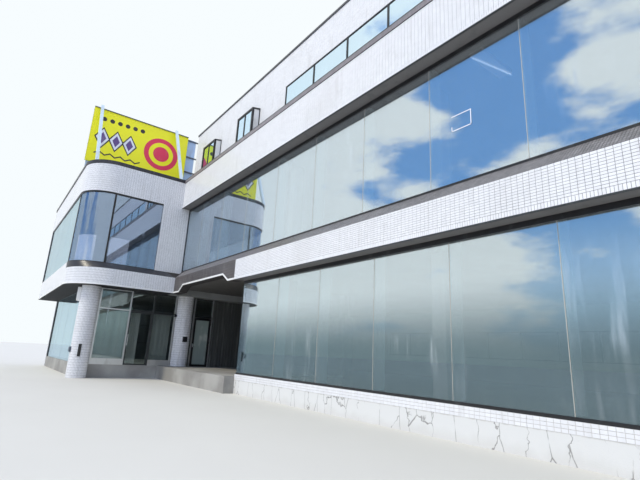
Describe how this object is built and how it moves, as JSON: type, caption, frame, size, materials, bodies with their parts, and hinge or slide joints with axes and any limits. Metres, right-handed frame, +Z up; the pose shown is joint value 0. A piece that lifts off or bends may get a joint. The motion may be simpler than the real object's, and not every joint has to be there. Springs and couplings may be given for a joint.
{
  "type": "supermarket building",
  "caption": "Supermarket building with banded glass fronts, white tiled bands, a covered entrance and a lower wing with a rounded corner and a roof sign.",
  "frame": {"origin": "middle of the building's outline, at the lowest ground level", "axes": "+X along the front towards the three-storey block's free end, +Y from the front to the back, +Z up"},
  "size_m": [31.22, 15.785, 12.49],
  "materials": {
    "concrete": "painted concrete",
    "white_tile": "small glazed tiles with grey joints",
    "brown_tile": "small grey-brown tiles",
    "white_trim": "white paint",
    "dark_metal": "dark grey paint",
    "black_frame": "black anodised",
    "clear_glass": "clear glass",
    "silver_frame": "natural anodised",
    "brown_cladding": "brown ribbed sheet",
    "sign_face": "yellow paint",
    "sign_steel": "pale blue paint"
  },
  "bodies": {
    "building": {"ground_floor": "concrete", "entrance_floor": "concrete", "wing_floor": "concrete", "main_plinth": "concrete", "second_floor": "concrete", "entrance_ceiling": "dark_metal", "wing_second_floor": "concrete", "third_floor": "concrete", "roof_slabs": "concrete", "roof_coping": "dark_metal", "lower_band": "white_tile", "entrance_spandrel": "brown_tile", "band_trim": "white_trim", "sloped_sill": "brown_tile", "upper_band": "white_tile", "coping": "brown_tile", "wing_band": "white_tile", "wing_upper_wall": "white_tile", "wing_side_wall": "white_tile", "ground_glass": "clear_glass", "upper_glass": "clear_glass", "glass_fins": "clear_glass", "glass_frames": "black_frame", "third_front_wall": "white_tile", "bay_windows": "black_frame", "ribbon_frames": "black_frame", "ribbon_glass": "clear_glass", "wing_window_frames": "black_frame", "wing_glass": "clear_glass", "tiled_columns": "white_tile", "shopfront_frames": "silver_frame", "shopfront_glass": "clear_glass", "recess_wall": "brown_cladding", "recess_back_wall": "brown_cladding", "main_back_wall": "white_tile", "main_end_wall": "white_tile", "left_end_wall": "white_tile", "wing_back_wall": "white_tile", "wing_left_wall": "white_tile", "interior_columns": "concrete", "sign_board": "sign_face", "sign_backing": "sign_steel", "sign_frame": "sign_steel"},
    "shop_leaf": {"shop_door": "silver_frame"},
    "side_leaf": {"side_door": "black_frame"}
  },
  "joints": [
    {"name": "shop_door_hinge", "type": "hinge", "parent": "building", "child": "shop_leaf", "pos_m": [-5.696, -4.2555, 0.54], "axis": [0, 0, 1], "range_deg": [0, 90]},
    {"name": "side_door_hinge", "type": "hinge", "parent": "building", "child": "side_leaf", "pos_m": [-5.696, -1.4535, 0.54], "axis": [0, 0, 1], "range_deg": [0, 90]}
  ]
}
